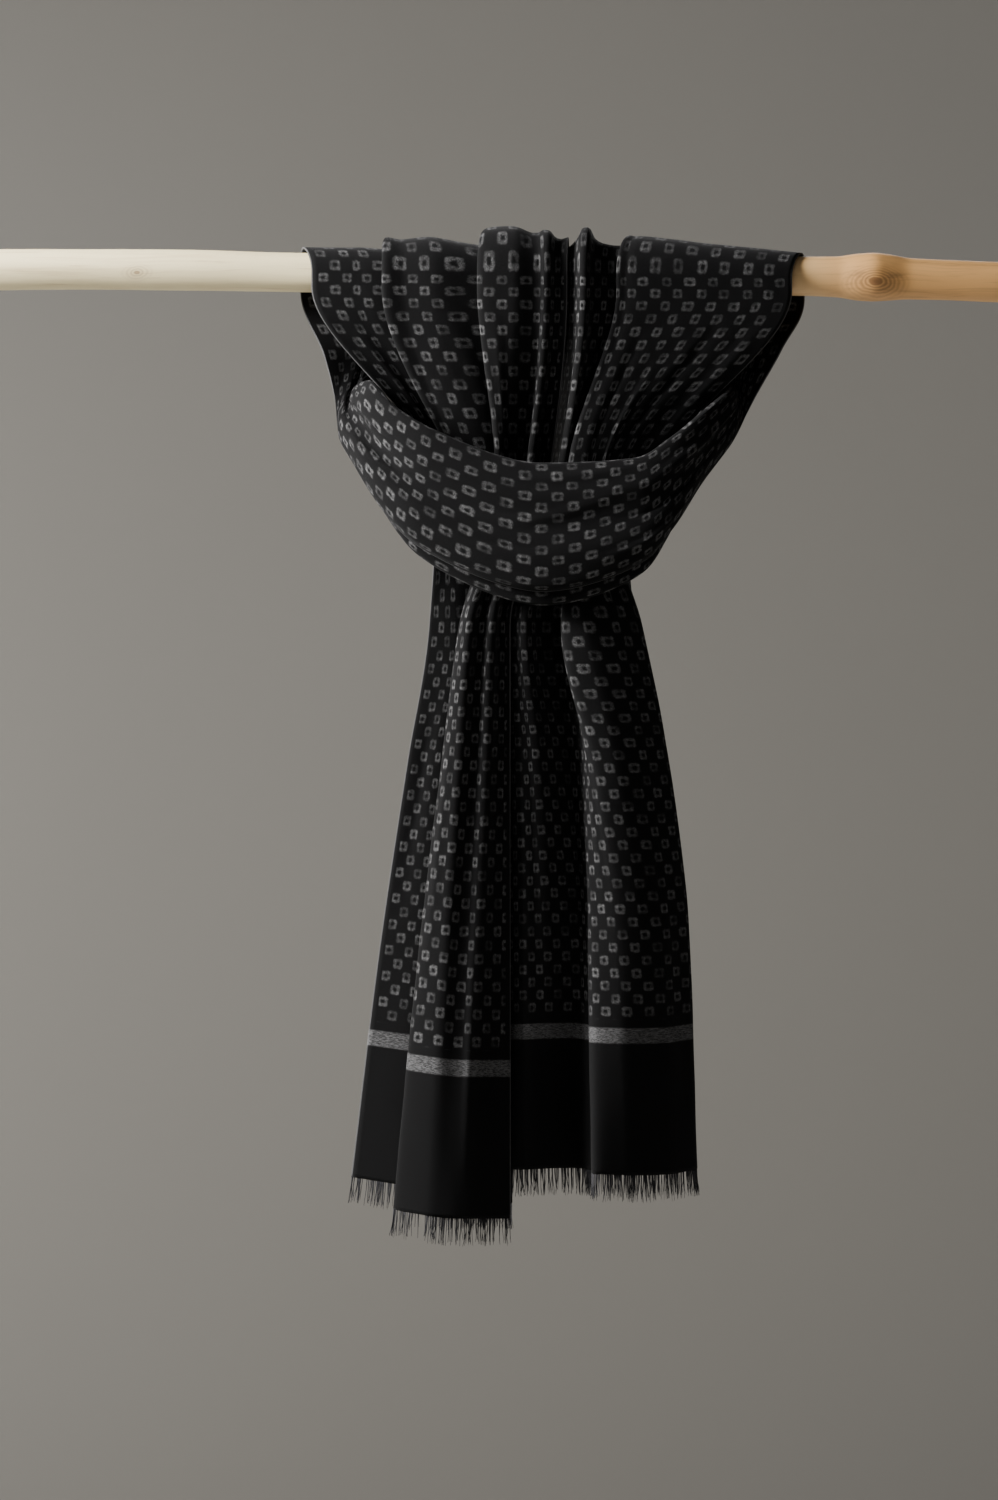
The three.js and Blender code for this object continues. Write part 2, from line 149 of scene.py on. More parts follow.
# Folds of the sling: up is the share of its height and out the distance in front of its middle
SLING_COLUMNS = ("s", "gape_up", "gape_out", "mid_up", "mid_out", "back_up", "back_out")
SLING_FOLDS = [
    (0, 0.0, 5, 0.0, 6, 0.0, 8),
    (12, 0.04, 9, 0.04, 10, 0.11, 6.2),
    (38, 0.3, 14, 0.28, 14, 0.29, 3.4),
    (62, 0.5, 6, 0.52, 11.5, 0.35, 2.6),
    (86, 0.72, 13, 0.76, 14, 0.39, 1.4),
    (117, 1.0, 6, 1.0, 6.5, 0.43, 0.6),
    (165, 0.56, -1, 0.56, 0, 0.69, 1.6),
    (226, -0.05, -3.5, -0.1, -3, 0.83, -3.2),
    (262, 0.24, -7, 0.3, -6.5, 0.92, -5.6),
    (300, 0.6, -7, 0.68, -6, 1.0, -8),
]

# Sections of the sling from the left back leg to the right one
PLACE_COLUMNS = ("t", "gape", "back", "spread", "low_x", "low_y", "low_z", "high_x", "high_y", "high_z")
SLING_PLACES = [
    (-205, 0, 1, 1.25, -124, 14, -60, -44, 30, -56),
    (-172, 0.35, 0.65, 1.2, -116, 7, -90, -78, 24, -65),
    (-140, 0.75, 0.25, 1.15, -107, -5, -116, -90, 8, -73),
    (-112, 1, 0, 1, -95, -18, -138, -86, -13, -76),
    (-85, 1, 0, 1, -79, -30, -165, -69, -32, -94),
    (-55, 0.6, 0, 1, -56, -39, -190, -44, -41, -110),
    (0, 0, 0, 1, 30, -45, -222, 30, -45, -133),
    (55, 0, 0, 1, 100, -40, -201, 94, -43, -129),
    (85, 0, 0, 1, 118, -33, -178, 119, -37, -113),
    (112, 0.1, 0.1, 1, 134, -20, -148, 143, -23, -89),
    (140, 0, 0.45, 1.4, 156, -6, -118, 160, 7, -65),
    (172, 0, 0.85, 1, 180, 6, -90, 148, 24, -66),
    (205, 0, 1, 1.7, 200, 14, -58, 126, 30, -56),
]

# Gathers of the back legs, seen from the sides and behind: they begin at a share of the section's height
GATHERS = 11.0
GATHER_FROM, GATHER_FULL = 0.44, 0.56
GATHER_COLUMNS = ("t", "depth")
GATHER_TABLE = [(172, 0), (200, 9), (240, 9.5), (262, 0)]

# Small creases of each stretch: s and t of both ends, width, and height outwards
LEG_CREASES = {
    "left": [
        (20, 90, 34, 215, 9, 1.6),
        (60, 110, 58, 225, 8, -1.2),
        (148, 80, 156, 180, 8, 1.2),
        (190, 100, 188, 235, 8, -1.4),
        (222, 90, 224, 190, 6, 1.2),
        (20, 330, 12, 520, 12, -1.6),
        (56, 400, 62, 640, 12, 1.4),
        (156, 310, 160, 470, 9, 1.2),
        (190, 420, 196, 680, 11, -1.5),
        (222, 340, 220, 560, 8, 1.2),
        (262, 500, 262, 700, 9, 1.0),
    ],
    "right": [
        (16, 96, 14, 200, 9, 1.4),
        (48, 90, 56, 210, 10, -1.8),
        (78, 120, 82, 240, 8, 1.3),
        (104, 100, 108, 190, 7, -1.0),
        (168, 110, 170, 220, 7, 1.0),
        (238, 90, 240, 210, 7, -1.2),
        (14, 320, 20, 560, 14, 1.8),
        (48, 420, 42, 690, 14, -1.6),
        (84, 330, 88, 560, 12, 1.4),
        (108, 470, 104, 700, 10, -1.2),
        (168, 330, 166, 520, 9, 1.2),
        (192, 480, 190, 690, 9, 1.2),
        (262, 360, 264, 600, 10, -1.0),
    ],
}
LOOP_CREASES = [
    (30, -128, 66, -60, 8, 1.6),
    (74, -120, 96, -40, 7, -1.3),
    (24, -84, 48, 10, 9, -1.4),
    (52, -44, 84, 50, 10, 1.2),
    (98, -30, 104, 70, 8, 1.0),
    (28, 20, 30, 110, 8, 1.4),
    (60, 40, 44, 124, 8, -1.6),
    (88, 70, 74, 150, 8, 1.5),
    (110, 90, 102, 160, 6, -1.0),
    (200, -200, 196, -120, 12, 1.2),
    (150, 130, 160, 220, 12, 1.2),
]

# The fine unevenness of the whole cloth, and the selvage strip over which all creases fade
RUMPLE = 0.16
SELVAGE_FADE = 12.0

# Strands of the fringe: rings along each, sides of each ring, radius, what it loses to its tip, share of
# pale ones, and the spacing of their clusters
STRAND_RINGS = 7
STRAND_SIDES = 4
STRAND_RADIUS = 0.34
STRAND_TAPER = 0.2
PALE_SHARE = 0.34
CLUSTER = 3.3
STRAND_SEEDS = {"left": 5, "right": 9}

# The rod's bump at its knot, the length over which its lumps fade to the sawn ends, and their bevel
KNOT_X, KNOT_HEIGHT, KNOT_REACH = 262, 1.3, 11
ROD_FADE = 20
ROD_BEVEL = 1.2

# Knots in the wood, in metres: x, z, size and strength of the colour
WOOD_KNOTS = ((0.262, -0.003, 0.016, 0.85), (-0.252, 0.006, 0.008, 0.5))

# The studio, in metres: half its width, its height, and the wall, which stands behind each view's eye
ROOM_HALF = 6
ROOM_TOP = 4
WALL_Y = 4.2

# Lamps: name, place, aim, diameter and power
LAMPS = (
    ("key", (-1.8, -0.42, 0.5), (0, 0, -0.28), 0.7, 135),
    ("fill", (-1.1, -2.6, 0.5), (0, 0, -0.3), 1.4, 5),
    ("rod_light", (-0.75, -0.38, 0.3), (-0.4, 0, 0), 0.25, 8),
    ("wall_wash", (-3.4, 2.6, 0.0), (-0.9, WALL_Y, -0.4), 1.6, 100),
    ("back", (0.4, 2.7, 0.9), (0, 0, -0.28), 1.4, 30),
)

# Light from all round
AMBIENT = 0.045

# The camera, and the height in millimetres that its picture shows at the rod
CAMERA_PLACE = (0, -2.6, -0.3332)
SENSOR_HEIGHT = 36
VIEW_HEIGHT = 1050


def columns(table, names):
    """Each named column of a table, as an array."""
    return dict(zip(names, np.array(table, float).T))


def rounded(before, after, rise_before, rise_after):
    """Slope at a knot that swings past its point: each side's rise is weighed by the other side's length."""
    return (after * rise_before + before * rise_after) / (before + after)


def steady(before, after, rise_before, rise_after):
    """Slope at a knot that never overshoots: the weighed harmonic mean of both rises, or none at a turn."""
    first = 2 * after + before
    second = after + 2 * before
    same = rise_before * rise_after > 0
    safe_before = np.where(same, rise_before, 1.0)
    safe_after = np.where(same, rise_after, 1.0)
    return np.where(same, (first + second) / (first / safe_before + second / safe_after), 0.0)


def spline(slope_rule, knots, values, places):
    """Cubic through values at knots, taken at places: the Hermite blend of each stretch's ends and slopes."""
    knots = np.asarray(knots, float)
    values = np.asarray(values, float)
    lengths = np.diff(knots).reshape((-1,) + (1,) * (values.ndim - 1))
    rises = np.diff(values, axis=0) / lengths
    slopes = np.empty_like(values)
    slopes[0] = rises[0]
    slopes[-1] = rises[-1]
    slopes[1:-1] = slope_rule(lengths[:-1], lengths[1:], rises[:-1], rises[1:])
    i = np.clip(np.searchsorted(knots, places, side="left") - 1, 0, len(knots) - 2)
    shape = (-1,) + (1,) * (values.ndim - 1)
    h = lengths[i]
    f = (np.asarray(places, float) - knots[i]).reshape(shape) / h
    g = 1 - f
    return (
        (1 + 2 * f) * g * g * values[i]
        + f * g * g * h * slopes[i]
        + f * f * (3 - 2 * f) * values[i + 1]
        - f * f * g * h * slopes[i + 1]
    )


def section(places, points, across):
    """One section of cloth at the places across it: each inner fold point becomes two, half a turn apart.

    A sharp fold's two points move apart by the turn's gap, and a flat one's along its two sides. The curve's
    knots lie apart by the square root of their distance, so gathered cloth makes no loop.
    """
    before = points[:-2] - points[1:-1]
    after = points[2:] - points[1:-1]
    length_before = np.linalg.norm(before, axis=1, keepdims=True)
    length_after = np.linalg.norm(after, axis=1, keepdims=True)
    room = np.minimum(TURN_HALF, TURN_SHARE * np.minimum(length_before, length_after))
    before /= length_before
    after /= length_after
    sharp = np.maximum(0, np.sum(before * after, axis=1, keepdims=True))
    apart = before - after
    apart *= sharp * TURN_GAP / 2 / np.maximum(np.linalg.norm(apart, axis=1, keepdims=True), 1e-9)
    beside = (1 - sharp) * room
    turned = np.stack([points[1:-1] + before * beside + apart, points[1:-1] + after * beside - apart], axis=1)
    turned = np.concatenate([points[:1], turned.reshape(-1, 3), points[-1:]])
    split = np.stack([places[1:-1] - TURN_HALF, places[1:-1] + TURN_HALF], axis=1).ravel()
    split = np.concatenate([places[:1], split, places[-1:]])
    gaps = np.sqrt(np.linalg.norm(np.diff(turned, axis=0), axis=1))
    knots = np.concatenate([[0], np.cumsum(gaps)])
    return spline(rounded, knots, turned, np.interp(across, split, knots))


def unseen(points):
    """What is nearer the eye than the rod is drawn smaller by as much as it looks larger."""
    share = (EYE_DISTANCE + points[..., 1:2]) / EYE_DISTANCE
    centre = np.array([0, 0, EYE_HEIGHT])
    scaled = centre + (points - centre) * share
    scaled[..., 1] = points[..., 1]
    return scaled


def over_rod(folds, turn, drop):
    """Folds at an angle from the rod's back to its front: a circle of the rod's radius plus each lift."""
    fold = columns(folds, FOLD_COLUMNS)
    rod_x = fold["rod_x"]
    behind = (1 + np.cos(turn)) / 2
    pulled = COLLAR_PULL * (1 - behind) ** 2
    x = rod_x + behind * (fold["back_x"] - rod_x) + pulled * (fold["collar_x"] - rod_x)
    reach = ROD_RADIUS + fold["lift"]
    return np.stack([x, reach * np.cos(turn), ROD_TILT * x + reach * np.sin(turn) + drop], axis=1)


def leg_surface(side, across, along):
    """Front leg and tail of one side: a smooth curve along t through its sections across s."""
    folds = LEFT_FOLDS if side == "left" else RIGHT_FOLDS
    fold = columns(folds, FOLD_COLUMNS)
    places = fold["s"]
    flat = np.ones(len(folds))
    collar = np.stack([fold["collar_x"], fold["collar_y"], COLLAR_Z * flat], axis=1)
    hip = np.stack([fold["hip_x"], fold["hip_y"], HIP_Z * flat], axis=1)
    hem = np.stack([fold["hem_x"], fold["hem_y"], fold["hem_z"]], axis=1)
    stations = [(0.0, over_rod(folds, 0, BACK_Z))]
    for part in range(ARC_PARTS + 1):
        stations.append((ARC_START + ARC_STEP * part, over_rod(folds, np.pi * part / ARC_PARTS, 0)))
    stations.append((FRONT_T, over_rod(folds, np.pi, FRONT_Z)))
    stations.append((COLLAR_T, collar))
    stations.append((HIP_T, hip))
    for share in THIGH_SHARES:
        points = hip + (hem - hip) * share
        points[:, 0] = hip[:, 0] + (hem - hip)[:, 0] * (1 - (1 - share) ** THIGH[side])
        stations.append((HIP_T + (HEM_T - HIP_T) * share, points))
    stations.append((HEM_T, hem))
    sections = np.stack([section(places, points, across) for _, points in stations])
    return unseen(spline(steady, [t for t, _ in stations], sections, along))


def loop_surface(across, along):
    """Sling and both back legs: sections of up and out shares between two edges, on a curve along t."""
    place = columns(SLING_PLACES, PLACE_COLUMNS)
    fold = columns(SLING_FOLDS, SLING_COLUMNS)
    low = np.stack([place["low_x"], place["low_y"], place["low_z"]], axis=1)
    high = np.stack([place["high_x"], place["high_y"], place["high_z"]], axis=1)
    last = len(SLING_PLACES) - 1

    def behind_rod(folds, z):
        return section(columns(folds, FOLD_COLUMNS)["s"], over_rod(folds, 0, z), across)

    stations = [
        (-SLING_END_T, behind_rod(LEFT_FOLDS, BACK_Z)),
        (-SLING_END_T + LEAD, behind_rod(LEFT_FOLDS, BACK_Z - LEAD)),
    ]
    shares = zip(place["t"], place["gape"], place["back"], place["spread"])
    for k, (t, gape, back, spread) in enumerate(shares):
        before, after = max(k - 1, 0), min(k + 1, last)
        run = low[after] + high[after] - low[before] - high[before]
        rise = high[k] - low[k]
        out = np.cross(run, rise)
        out /= np.linalg.norm(out)
        mid = 1 - gape - back
        up_share = gape * fold["gape_up"] + mid * fold["mid_up"] + back * fold["back_up"]
        out_share = spread * (gape * fold["gape_out"] + mid * fold["mid_out"] + back * fold["back_out"])
        points = low[k] + rise * up_share[:, None] + out * out_share[:, None]
        stations.append((t, section(fold["s"], points, across)))
    stations.append((SLING_END_T - LEAD, behind_rod(RIGHT_FOLDS, BACK_Z - LEAD)))
    stations.append((SLING_END_T, behind_rod(RIGHT_FOLDS, BACK_Z)))
    sections = np.stack([points for _, points in stations])
    return unseen(gathered(spline(steady, [t for t, _ in stations], sections, along), along))


def gathered(points, along):
    """Pleats of the back legs: a sine of the height between a section's ends moves it out by their depth."""
    low = points[:, :1]
    rise = points[:, -1:] - low
    share = np.sum((points - low) * rise, axis=2) / np.sum(rise * rise, axis=2)
    out = np.cross(np.gradient(points.mean(axis=1), along, axis=0)[:, None], rise)
    out /= np.linalg.norm(out, axis=2, keepdims=True)
    begun = np.clip((share - GATHER_FROM) / (GATHER_FULL - GATHER_FROM), 0, 1)
    gather = columns(GATHER_TABLE, GATHER_COLUMNS)
    depth = np.interp(np.abs(along), gather["t"], gather["depth"])[:, None]
    depth = depth * begun * np.sin(2 * np.pi * GATHERS * share)
    return points + out * depth[..., None]


def outward(points):
    """Unit normals of a grid of points: the cross product of its two directions."""
    normals = np.cross(np.gradient(points, axis=1), np.gradient(points, axis=0))
    return normals / np.maximum(np.linalg.norm(normals, axis=2, keepdims=True), 1e-12)


def creased(points, across, along, creases, facing):
    """Moves a grid along its normals by soft ridges, each a bell across its line and eased in along it.

    facing is the sign that turns the grid's normals to the front of the scarf.
    """
    s, t = np.meshgrid(across, along)
    height = np.zeros_like(s)
    for s0, t0, s1, t1, width, tall in creases:
        run = np.array([s1 - s0, t1 - t0], float)
        share = ((s - s0) * run[0] + (t - t0) * run[1]) / (run @ run)
        beside = ((s - s0) * run[1] - (t - t0) * run[0]) / np.linalg.norm(run)
        ends = np.clip(share, 0, 1)
        height += tall * np.exp(-((beside / (width / 2)) ** 2)) * np.sin(np.pi * ends) ** 1.2
    height += RUMPLE * np.sin(s / 7.3 + 2.1 * np.sin(t / 41.0)) * np.sin(t / 17.0 + 1.3 * np.sin(s / 23.0))
    edge = np.clip(np.minimum(s, CLOTH_WIDTH - s) / SELVAGE_FADE, 0, 1)
    return points + facing * outward(points) * (height * edge)[..., None]


def columns_across(places, flat_steps, turn_steps):
    """Places across the cloth, closer together round each fold's turn."""
    inner = places[1:-1]
    edges = np.sort(np.concatenate([[0], inner - TURN_HALF, inner + TURN_HALF, [CLOTH_WIDTH]]))
    parts = [
        np.linspace(edges[k], edges[k + 1], (flat_steps if k % 2 == 0 else turn_steps) + 1)[:-1]
        for k in range(len(edges) - 1)
    ]
    return np.concatenate(parts + [[CLOTH_WIDTH]])


def grid_mesh(name, points, uv=None, closed=False):
    """A mesh of quads over a grid of points in metres; closed joins the last column to the first."""
    rows, cols = points.shape[:2]
    index = np.arange(rows * cols).reshape(rows, cols)
    right = np.roll(index, -1, axis=1)
    last = cols if closed else cols - 1
    corners = [index[:-1, :last], right[:-1, :last], right[1:, :last], index[1:, :last]]
    quads = np.stack(corners, axis=-1).reshape(-1, 4)
    mesh = bpy.data.meshes.new(name)
    mesh.vertices.add(rows * cols)
    mesh.vertices.foreach_set("co", points.reshape(-1).astype(np.float32))
    mesh.loops.add(quads.size)
    mesh.loops.foreach_set("vertex_index", quads.reshape(-1).astype(np.int32))
    mesh.polygons.add(len(quads))
    mesh.polygons.foreach_set("loop_start", np.arange(0, quads.size, 4, dtype=np.int32))
    mesh.polygons.foreach_set("use_smooth", np.ones(len(quads), bool))
    if uv is not None:
        layer = mesh.uv_layers.new(name="cloth")
        layer.data.foreach_set("uv", uv.reshape(-1, 2)[quads.reshape(-1)].reshape(-1).astype(np.float32))
    mesh.update(calc_edges=True)
    mesh.validate()
    return mesh


def close_ends(mesh, sides):
    """Fills the ring left open at each end of a closed grid, whose rings have that many sides."""
    work = bmesh.new()
    work.from_mesh(mesh)
    work.verts.ensure_lookup_table()
    first = [work.verts[k] for k in range(sides)]
    last = [work.verts[len(work.verts) - sides + k] for k in range(sides)]
    for ring in (first, last[::-1]):
        work.faces.new(ring).smooth = True
    bmesh.ops.recalc_face_normals(work, faces=work.faces)
    work.to_mesh(mesh)
    work.free()


def placed(name, mesh, material, replaced):
    """Adds a mesh to the scene as a piece that rides on the object and stands for its plain solids."""
    obj = bpy.data.objects.new(name, mesh)
    bpy.context.scene.collection.objects.link(obj)
    obj.data.materials.append(material)
    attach(obj, "root")
    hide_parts(*replaced)
    return obj


def cloth_piece(name, points, across, along_cloth, wall, replaced):
    """Cloth with a wall over a grid in millimetres, and its place on the cut cloth as UV in metres."""
    u, v = np.meshgrid(across, along_cloth)
    uv = np.stack([u, v], axis=-1) / 1000
    mesh = grid_mesh(name, points / 1000, uv)
    obj = placed(name, mesh, cloth_material(), replaced)
    solid = obj.modifiers.new("wall", "SOLIDIFY")
    solid.thickness = wall
    solid.offset = 0
    solid.use_even_offset = False
    return obj


class Nodes:
    """Short calls that add a material's nodes and link them."""

    def __init__(self, name):
        self.material = bpy.data.materials.new(name)
        self.material.use_nodes = True
        self.tree = self.material.node_tree
        self.shader = self.tree.nodes["Principled BSDF"]

    def feed(self, socket, value):
        if isinstance(value, bpy.types.NodeSocket):
            self.tree.links.new(value, socket)
        else:
            socket.default_value = value

    def math(self, operation, a, b=0.0, c=0.0, clamp=False):
        node = self.tree.nodes.new("ShaderNodeMath")
        node.operation = operation
        node.use_clamp = clamp
        for socket, value in zip(node.inputs, (a, b, c)):
            self.feed(socket, value)
        return node.outputs[0]

    def times(self, a, b, clamp=False):
        return self.math("MULTIPLY", a, b, clamp=clamp)

    def minus(self, a, b):
        return self.math("SUBTRACT", a, b)

    def scaled(self, a, by, plus):
        """a times by, plus what is added."""
        return self.math("MULTIPLY_ADD", a, by, plus)

    def ramp(self, value, low, high):
        """0 below low, 1 above high and eased between, or the other way round where high is the lower."""
        node = self.tree.nodes.new("ShaderNodeMapRange")
        node.interpolation_type = "SMOOTHSTEP"
        node.clamp = True
        self.feed(node.inputs["Value"], value)
        turned = low > high
        node.inputs["From Min"].default_value = high if turned else low
        node.inputs["From Max"].default_value = low if turned else high
        node.inputs["To Min"].default_value = 1 if turned else 0
        node.inputs["To Max"].default_value = 0 if turned else 1
        return node.outputs["Result"]

    def mix(self, share, a, b):
        node = self.tree.nodes.new("ShaderNodeMix")
        node.data_type = "RGBA"
        self.feed(node.inputs["Factor"], share)
        self.feed(node.inputs[6], a)
        self.feed(node.inputs[7], b)
        return node.outputs[2]

    def noise(self, vector, scale, detail=2.0, roughness=0.5, distortion=0.0):
        node = self.tree.nodes.new("ShaderNodeTexNoise")
        self.feed(node.inputs["Vector"], vector)
        node.inputs["Scale"].default_value = scale
        node.inputs["Detail"].default_value = detail
        node.inputs["Roughness"].default_value = roughness
        node.inputs["Distortion"].default_value = distortion
        return node.outputs["Fac"]

    def join(self, x, y, z=0.0):
        node = self.tree.nodes.new("ShaderNodeCombineXYZ")
        for socket, value in zip(node.inputs, (x, y, z)):
            self.feed(socket, value)
        return node.outputs[0]

    def split(self, vector):
        node = self.tree.nodes.new("ShaderNodeSeparateXYZ")
        self.feed(node.inputs[0], vector)
        return node.outputs

    def bump(self, height, strength, distance):
        node = self.tree.nodes.new("ShaderNodeBump")
        node.inputs["Strength"].default_value = strength
        node.inputs["Distance"].default_value = distance
        self.feed(node.inputs["Height"], height)
        self.tree.links.new(node.outputs["Normal"], self.shader.inputs["Normal"])

    def object_place(self):
        return self.tree.nodes.new("ShaderNodeTexCoord").outputs["Object"]

    def set_shader(self, **values):
        """Sets the shader's own sockets, with underscores for the spaces of their names."""
        for name, value in values.items():
            self.shader.inputs[name.replace("_", " ")].default_value = value


def small_square(nodes, u, v, shift):
    """One set of the half-drop squares: a rounded hollow square with a dark middle and paler corners.

    The distance from its middle is the fourth root of the summed fourth powers of both distances.
    """
    sides = []
    for value, size in ((u, REPEAT_WIDTH), (v, REPEAT_LENGTH)):
        part = nodes.math("FRACT", nodes.math("ADD", nodes.math("DIVIDE", value, size), shift))
        sides.append(nodes.math("ABSOLUTE", nodes.times(nodes.minus(part, 0.5), size)))
    a, b = sides
    powers = nodes.math("ADD", nodes.math("POWER", a, 4.0), nodes.math("POWER", b, 4.0))
    far = nodes.math("POWER", powers, 0.25)
    ring = nodes.times(nodes.ramp(far, 4.4, 2.8), nodes.ramp(far, 0.8, 2.2))
    corner = nodes.ramp(nodes.math("MINIMUM", a, b), 0.5, 2.2)
    return nodes.times(ring, nodes.scaled(corner, 0.32, 0.68))


def cloth_material():
    """Brushed charcoal cloth: half-drop hollow squares, a stripe near each end, a painted highlight along
    each selvage, nap and a fine weave.
    """
    found = bpy.data.materials.get("brushed_woven_cloth")
    if found:
        return found
    colours = bpy.context.scene.scarf_colours
    nodes = Nodes("brushed_woven_cloth")
    uv = nodes.tree.nodes.new("ShaderNodeUVMap")
    uv.uv_map = "cloth"
    millimetres = nodes.tree.nodes.new("ShaderNodeVectorMath")
    millimetres.operation = "SCALE"
    nodes.feed(millimetres.inputs[0], uv.outputs[0])
    millimetres.inputs["Scale"].default_value = 1000
    cloth = millimetres.outputs[0]
    u, v, _ = nodes.split(cloth)
    end = nodes.math("MINIMUM", v, nodes.minus(CLOTH_LENGTH, v))
    edge = nodes.math("MINIMUM", u, nodes.minus(CLOTH_WIDTH, u))

    # Noises: the shaken yarn both ways, broad shades, the nap, brushed hairs across, and worn patches
    shake = nodes.minus(nodes.noise(cloth, 0.35, 3.0, 0.7), 0.5)
    shake_along = nodes.minus(nodes.noise(nodes.join(v, u, 7.0), 0.35, 3.0, 0.7), 0.5)
    uneven = nodes.noise(cloth, 0.06, 3.0, 0.6)
    fibre = nodes.noise(cloth, 1.7, 3.0, 0.7)
    brushed = nodes.join(nodes.times(u, 0.5), nodes.times(v, 2.4), 3.0)
    hair = nodes.noise(brushed, 0.8, 3.0, 0.7)
    patchy = nodes.ramp(nodes.noise(cloth, 0.55, 2.0, 0.7), 0.3, 0.68)

    # Both sets of squares, which stop before the stripe and the selvages
    u_shaken = nodes.scaled(shake, 2.6, u)
    end_shaken = nodes.scaled(shake_along, 2.6, nodes.minus(end, FIRST_ROW))
    first = small_square(nodes, u_shaken, end_shaken, 0.5)
    second = small_square(nodes, u_shaken, end_shaken, 0.0)
    squares = nodes.math("ADD", first, second)
    squares = nodes.times(squares, nodes.ramp(end, FIRST_ROW - 6.5, FIRST_ROW - 5.5))
    squares = nodes.times(squares, nodes.ramp(edge, 5.0, 5.6))
    squares = nodes.times(squares, nodes.scaled(nodes.ramp(fibre, 0.32, 0.66), 0.95, 0.2))
    squares = nodes.times(squares, nodes.scaled(patchy, 0.75, 0.4))
    squares = nodes.times(squares, nodes.scaled(nodes.ramp(uneven, 0.36, 0.64), 0.75, 0.3), clamp=True)

    # The stripe, whose edges are shaken and whose yarn is speckled
    away = nodes.math("ABSOLUTE", nodes.minus(nodes.scaled(shake, 1.0, end), STRIPE_CENTRE))
    speckle = nodes.scaled(nodes.ramp(hair, 0.36, 0.66), 0.75, 0.15)
    stripe = nodes.times(nodes.ramp(away, 6.6, 5.2), speckle, clamp=True)
    # Painted highlight: a thin pale line in the squares' colour along each selvage, where light catches the
    # cloth's edge
    selvage_highlight = nodes.times(nodes.ramp(edge, 1.2, 0.4), 0.45)

    colour = nodes.mix(nodes.ramp(fibre, 0.35, 0.8), colours.ground, colours.nap)
    for share, paint in ((squares, colours.square), (stripe, colours.stripe), (selvage_highlight, colours.square)):
        colour = nodes.mix(share, colour, paint)
    nodes.feed(nodes.shader.inputs["Base Color"], colour)
    nodes.set_shader(Roughness=0.88, Specular_IOR_Level=0.12)
    nodes.set_shader(Sheen_Weight=0.05, Sheen_Roughness=0.45, Sheen_Tint=(0.75, 0.76, 0.8, 1))

    # Weave: the product of two sines, one along each yarn
    weft, warp = (nodes.math("SINE", nodes.times(value, 7.0)) for value in (u, v))
    height = nodes.scaled(nodes.times(weft, warp), 0.18, nodes.times(fibre, 0.9))
    nodes.bump(nodes.scaled(squares, 0.35, height), 0.55, 0.0005)
    return nodes.material


def fringe_material():
    """Loose yarn: each strand has its own shade, and a fuzz."""
    found = bpy.data.materials.get("fringe_yarn")
    if found:
        return found
    colours = bpy.context.scene.scarf_colours
    nodes = Nodes("fringe_yarn")
    strand = nodes.tree.nodes.new("ShaderNodeAttribute")
    strand.attribute_name = "shade"
    fuzz = nodes.noise(nodes.object_place(), 1400.0, 2.0, 0.6)
    share = nodes.times(strand.outputs["Fac"], nodes.scaled(fuzz, 0.9, 0.5), clamp=True)
    nodes.feed(nodes.shader.inputs["Base Color"], nodes.mix(share, colours.nap, colours.square))
    nodes.set_shader(Roughness=0.85, Specular_IOR_Level=0.3, Sheen_Weight=0.25)
    nodes.bump(fuzz, 0.4, 0.0003)
    return nodes.material


def wood_material():
    """Peeled branch: long grain stretched along X, a tan right end, and rings round two knots."""
    found = bpy.data.materials.get("peeled_wood")
    if found:
        return found
    colours = bpy.context.scene.scarf_colours
    nodes = Nodes("peeled_wood")
    place = nodes.object_place()
    x, y, z = nodes.split(place)
    bent = nodes.scaled(nodes.noise(place, 9.0, 2.0), 0.012, z)

    def stretched(along, across):
        return nodes.join(nodes.times(x, along), nodes.times(y, across), nodes.times(bent, across))

    grain = nodes.noise(stretched(5.0, 150.0), 1.0, 6.0, 0.62, 0.6)
    streak = nodes.noise(stretched(14.0, 420.0), 1.0, 3.0, 0.6)
    mottle = nodes.times(nodes.minus(nodes.noise(place, 6.0), 0.5), 0.5)
    tan = nodes.math("ADD", nodes.ramp(x, 0.05, 0.3), mottle, clamp=True)
    wood = nodes.mix(tan, colours.wood_pale, colours.wood_tan)
    grained = nodes.times(nodes.ramp(grain, 0.5, 0.72), nodes.scaled(tan, 0.5, 0.3))
    wood = nodes.mix(grained, wood, colours.wood_grain)
    wood = nodes.mix(nodes.times(nodes.ramp(streak, 0.58, 0.75), 0.35), wood, colours.wood_grain)

    # Each knot: rings that fade outwards, and a dark core, on the front of the rod
    for knot_x, knot_z, size, strength in WOOD_KNOTS:
        dx = nodes.times(nodes.minus(x, knot_x), 0.55)
        dz = nodes.minus(bent, knot_z)
        squared = nodes.math("ADD", nodes.math("POWER", dx, 2.0), nodes.math("POWER", dz, 2.0))
        wobble = nodes.minus(nodes.noise(place, 120.0, 2.0), 0.5)
        off = nodes.scaled(wobble, 0.002, nodes.math("SQRT", squared))
        front = nodes.ramp(y, 0.004, -0.004)
        rings = nodes.scaled(nodes.math("SINE", nodes.times(off, 3600.0)), 0.35, 0.5)
        near = nodes.times(nodes.ramp(off, size, 0.1 * size), front)
        core = nodes.times(nodes.ramp(off, 0.2 * size, 0.08 * size), front)
        for share in (nodes.times(rings, near), core):
            wood = nodes.mix(nodes.times(share, strength), wood, colours.wood_knot)
    nodes.feed(nodes.shader.inputs["Base Color"], wood)
    nodes.feed(nodes.shader.inputs["Roughness"], nodes.scaled(grain, 0.25, 0.42))
    nodes.bump(nodes.scaled(streak, 0.5, grain), 0.35, 0.0008)
    return nodes.material


